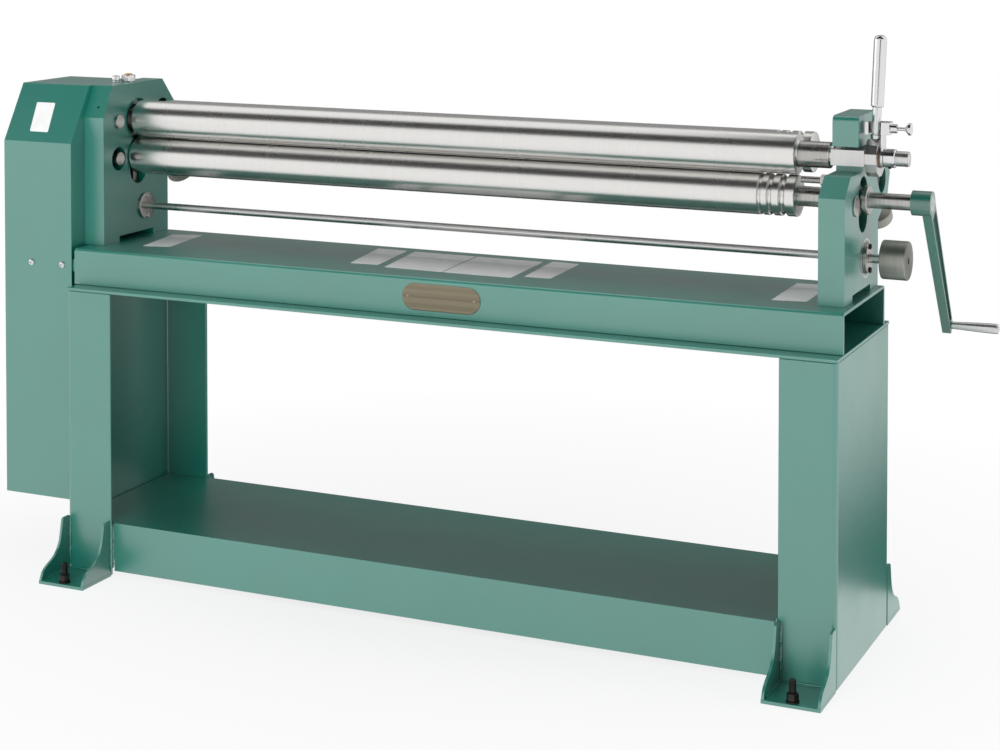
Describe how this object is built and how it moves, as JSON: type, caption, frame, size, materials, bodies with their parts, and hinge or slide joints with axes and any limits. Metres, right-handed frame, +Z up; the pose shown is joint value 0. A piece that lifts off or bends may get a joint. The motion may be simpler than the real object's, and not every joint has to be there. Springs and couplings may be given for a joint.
{
  "type": "slip roll",
  "caption": "Hand-cranked slip roll with geared long rolls between two end frames, a rear bending roll on screws and a swing-out upper roll, on a channel-leg stand with a shelf.",
  "frame": {"origin": "on the floor, under the middle of the whole machine", "axes": "+X along the rolls towards the crank, +Y to the back of the machine, +Z up; the operator stands at -Y"},
  "size_m": [1.9448, 0.548, 1.101],
  "materials": {
    "paint": "semi-gloss enamel",
    "ground_steel": "ground and brushed",
    "dark_steel": "black oxide",
    "cast_paint": "painted casting",
    "bright_chrome": "polished",
    "washer_brass": "machined",
    "knob_metal": "turned, dull"
  },
  "bodies": {
    "stand_and_frames": {"left_leg": "paint", "right_leg": "paint", "stand_top": "paint", "bottom_shelf": "paint", "foot_front_left": "paint", "foot_back_left": "paint", "foot_front_right": "paint", "foot_back_right": "paint", "foot_bolt_front_left": "dark_steel", "foot_bolt_back_left": "dark_steel", "foot_bolt_front_right": "dark_steel", "foot_bolt_back_right": "dark_steel", "bed": "paint", "nameplate": "ground_steel", "frame_bolt_front_left": "dark_steel", "frame_bolt_back_left": "dark_steel", "frame_bolt_front_right": "dark_steel", "frame_bolt_back_right": "dark_steel", "left_frame": "cast_paint", "right_frame": "cast_paint", "gear_cover": "paint", "cover_bracket": "ground_steel", "cover_screw_outer": "dark_steel", "cover_screw_inner": "dark_steel", "upper_idler_pin": "dark_steel", "rod_flange_left": "ground_steel", "rod_flange_right": "ground_steel", "bearing_lock_nut": "ground_steel", "bearing_set_screw": "dark_steel", "oil_cap": "washer_brass", "right_frame_plug": "cast_paint", "edge_stop_screw": "ground_steel"},
    "lower_carriage": {"lower_left_block": "dark_steel", "lower_right_block": "dark_steel", "lower_idler_pin": "dark_steel"},
    "lower_roll_shaft": {"lower_roll": "ground_steel", "lower_roll_gear": "ground_steel", "lower_thrust_ring": "ground_steel", "crank_arm": "cast_paint"},
    "grip": {"crank_grip": "ground_steel"},
    "lower_idler_gear": {"lower_idler": "ground_steel"},
    "upper_idler_gear": {"upper_idler": "ground_steel"},
    "upper_carrier": {"upper_left_bearing": "washer_brass", "upper_right_block": "bright_chrome", "brass_washer": "washer_brass", "lock_bracket": "bright_chrome", "spigot_collar": "ground_steel"},
    "upper_roll_shaft": {"upper_roll": "ground_steel", "upper_roll_gear": "ground_steel"},
    "cam": {"cam_ring": "bright_chrome", "cam_lever": "bright_chrome"},
    "thumb_lock": {"thumb_screw": "bright_chrome"},
    "rear_carriage": {"rear_left_block": "dark_steel", "rear_right_block": "dark_steel"},
    "rear_roll_body": {"rear_roll": "ground_steel"},
    "rear_knob_left": {"rear_screw_left": "knob_metal"},
    "rear_knob_right": {"rear_screw_right": "knob_metal"},
    "lift_gear": {"lift_rod": "ground_steel", "lift_knob": "knob_metal"}
  },
  "joints": [
    {"name": "lower_roll_height", "type": "slide", "parent": "stand_and_frames", "child": "lower_carriage", "axis": [0, 0, 1], "range_m": [-0.006, 0]},
    {"name": "lower_roll_spin", "type": "hinge", "parent": "lower_carriage", "child": "lower_roll_shaft", "pos_m": [0, 0.028, 0.8084], "axis": [1, 0, 0], "continuous": true},
    {"name": "crank_grip_spin", "type": "hinge", "parent": "lower_roll_shaft", "child": "grip", "pos_m": [0.92985, 0.18749, 0.5656], "axis": [1, 0, 0], "continuous": true},
    {"name": "lower_idler_spin", "type": "hinge", "parent": "lower_carriage", "child": "lower_idler_gear", "pos_m": [-0.82865, -0.042, 0.8084], "axis": [1, 0, 0], "continuous": true},
    {"name": "upper_idler_spin", "type": "hinge", "parent": "stand_and_frames", "child": "upper_idler_gear", "pos_m": [-0.82865, -0.042, 0.8844], "axis": [1, 0, 0], "continuous": true},
    {"name": "upper_roll_swing", "type": "hinge", "parent": "stand_and_frames", "child": "upper_carrier", "pos_m": [-0.78515, 0.028, 0.8844], "axis": [0, 0, 1], "range_deg": [-11, 0]},
    {"name": "upper_roll_spin", "type": "hinge", "parent": "upper_carrier", "child": "upper_roll_shaft", "pos_m": [0, 0.028, 0.8844], "axis": [1, 0, 0], "continuous": true},
    {"name": "cam_lever_turn", "type": "hinge", "parent": "upper_carrier", "child": "cam", "pos_m": [0.78385, 0.028, 0.8844], "axis": [1, 0, 0], "range_deg": [0, 100]},
    {"name": "thumb_screw_turn", "type": "hinge", "parent": "upper_carrier", "child": "thumb_lock", "pos_m": [0.82, 0.028, 0.937], "axis": [1, 0, 0], "range_deg": [0, 720]},
    {"name": "rear_roll_lift", "type": "slide", "parent": "stand_and_frames", "child": "rear_carriage", "axis": [0, -0.5878, 0.809], "range_m": [-0.009, 0.02]},
    {"name": "rear_roll_spin", "type": "hinge", "parent": "rear_carriage", "child": "rear_roll_body", "pos_m": [0, 0.13, 0.8754], "axis": [1, 0, 0], "continuous": true},
    {"name": "rear_screw_left_turn", "type": "hinge", "parent": "rear_carriage", "child": "rear_knob_left", "pos_m": [-0.78515, 0.13, 0.8754], "axis": [0, -0.5878, 0.809], "range_deg": [-815, 1805]},
    {"name": "rear_screw_right_turn", "type": "hinge", "parent": "rear_carriage", "child": "rear_knob_right", "pos_m": [0.73985, 0.13, 0.8754], "axis": [0, -0.5878, 0.809], "range_deg": [-815, 1805]},
    {"name": "lift_knob_turn", "type": "hinge", "parent": "stand_and_frames", "child": "lift_gear", "pos_m": [0, 0.052, 0.701], "axis": [1, 0, 0], "range_deg": [0, 70]}
  ],
  "couplings": [
    {"joint": "lift_knob_turn", "follows": "lower_roll_height", "rad_per_m": -203},
    {"joint": "lower_idler_spin", "follows": "lower_roll_spin", "ratio": -0.8421},
    {"joint": "upper_idler_spin", "follows": "lower_roll_spin", "ratio": 0.8421},
    {"joint": "upper_roll_spin", "follows": "lower_roll_spin", "ratio": -1},
    {"joint": "rear_screw_left_turn", "follows": "rear_roll_lift", "rad_per_m": 1570.8},
    {"joint": "rear_screw_right_turn", "follows": "rear_roll_lift", "rad_per_m": 1570.8}
  ]
}
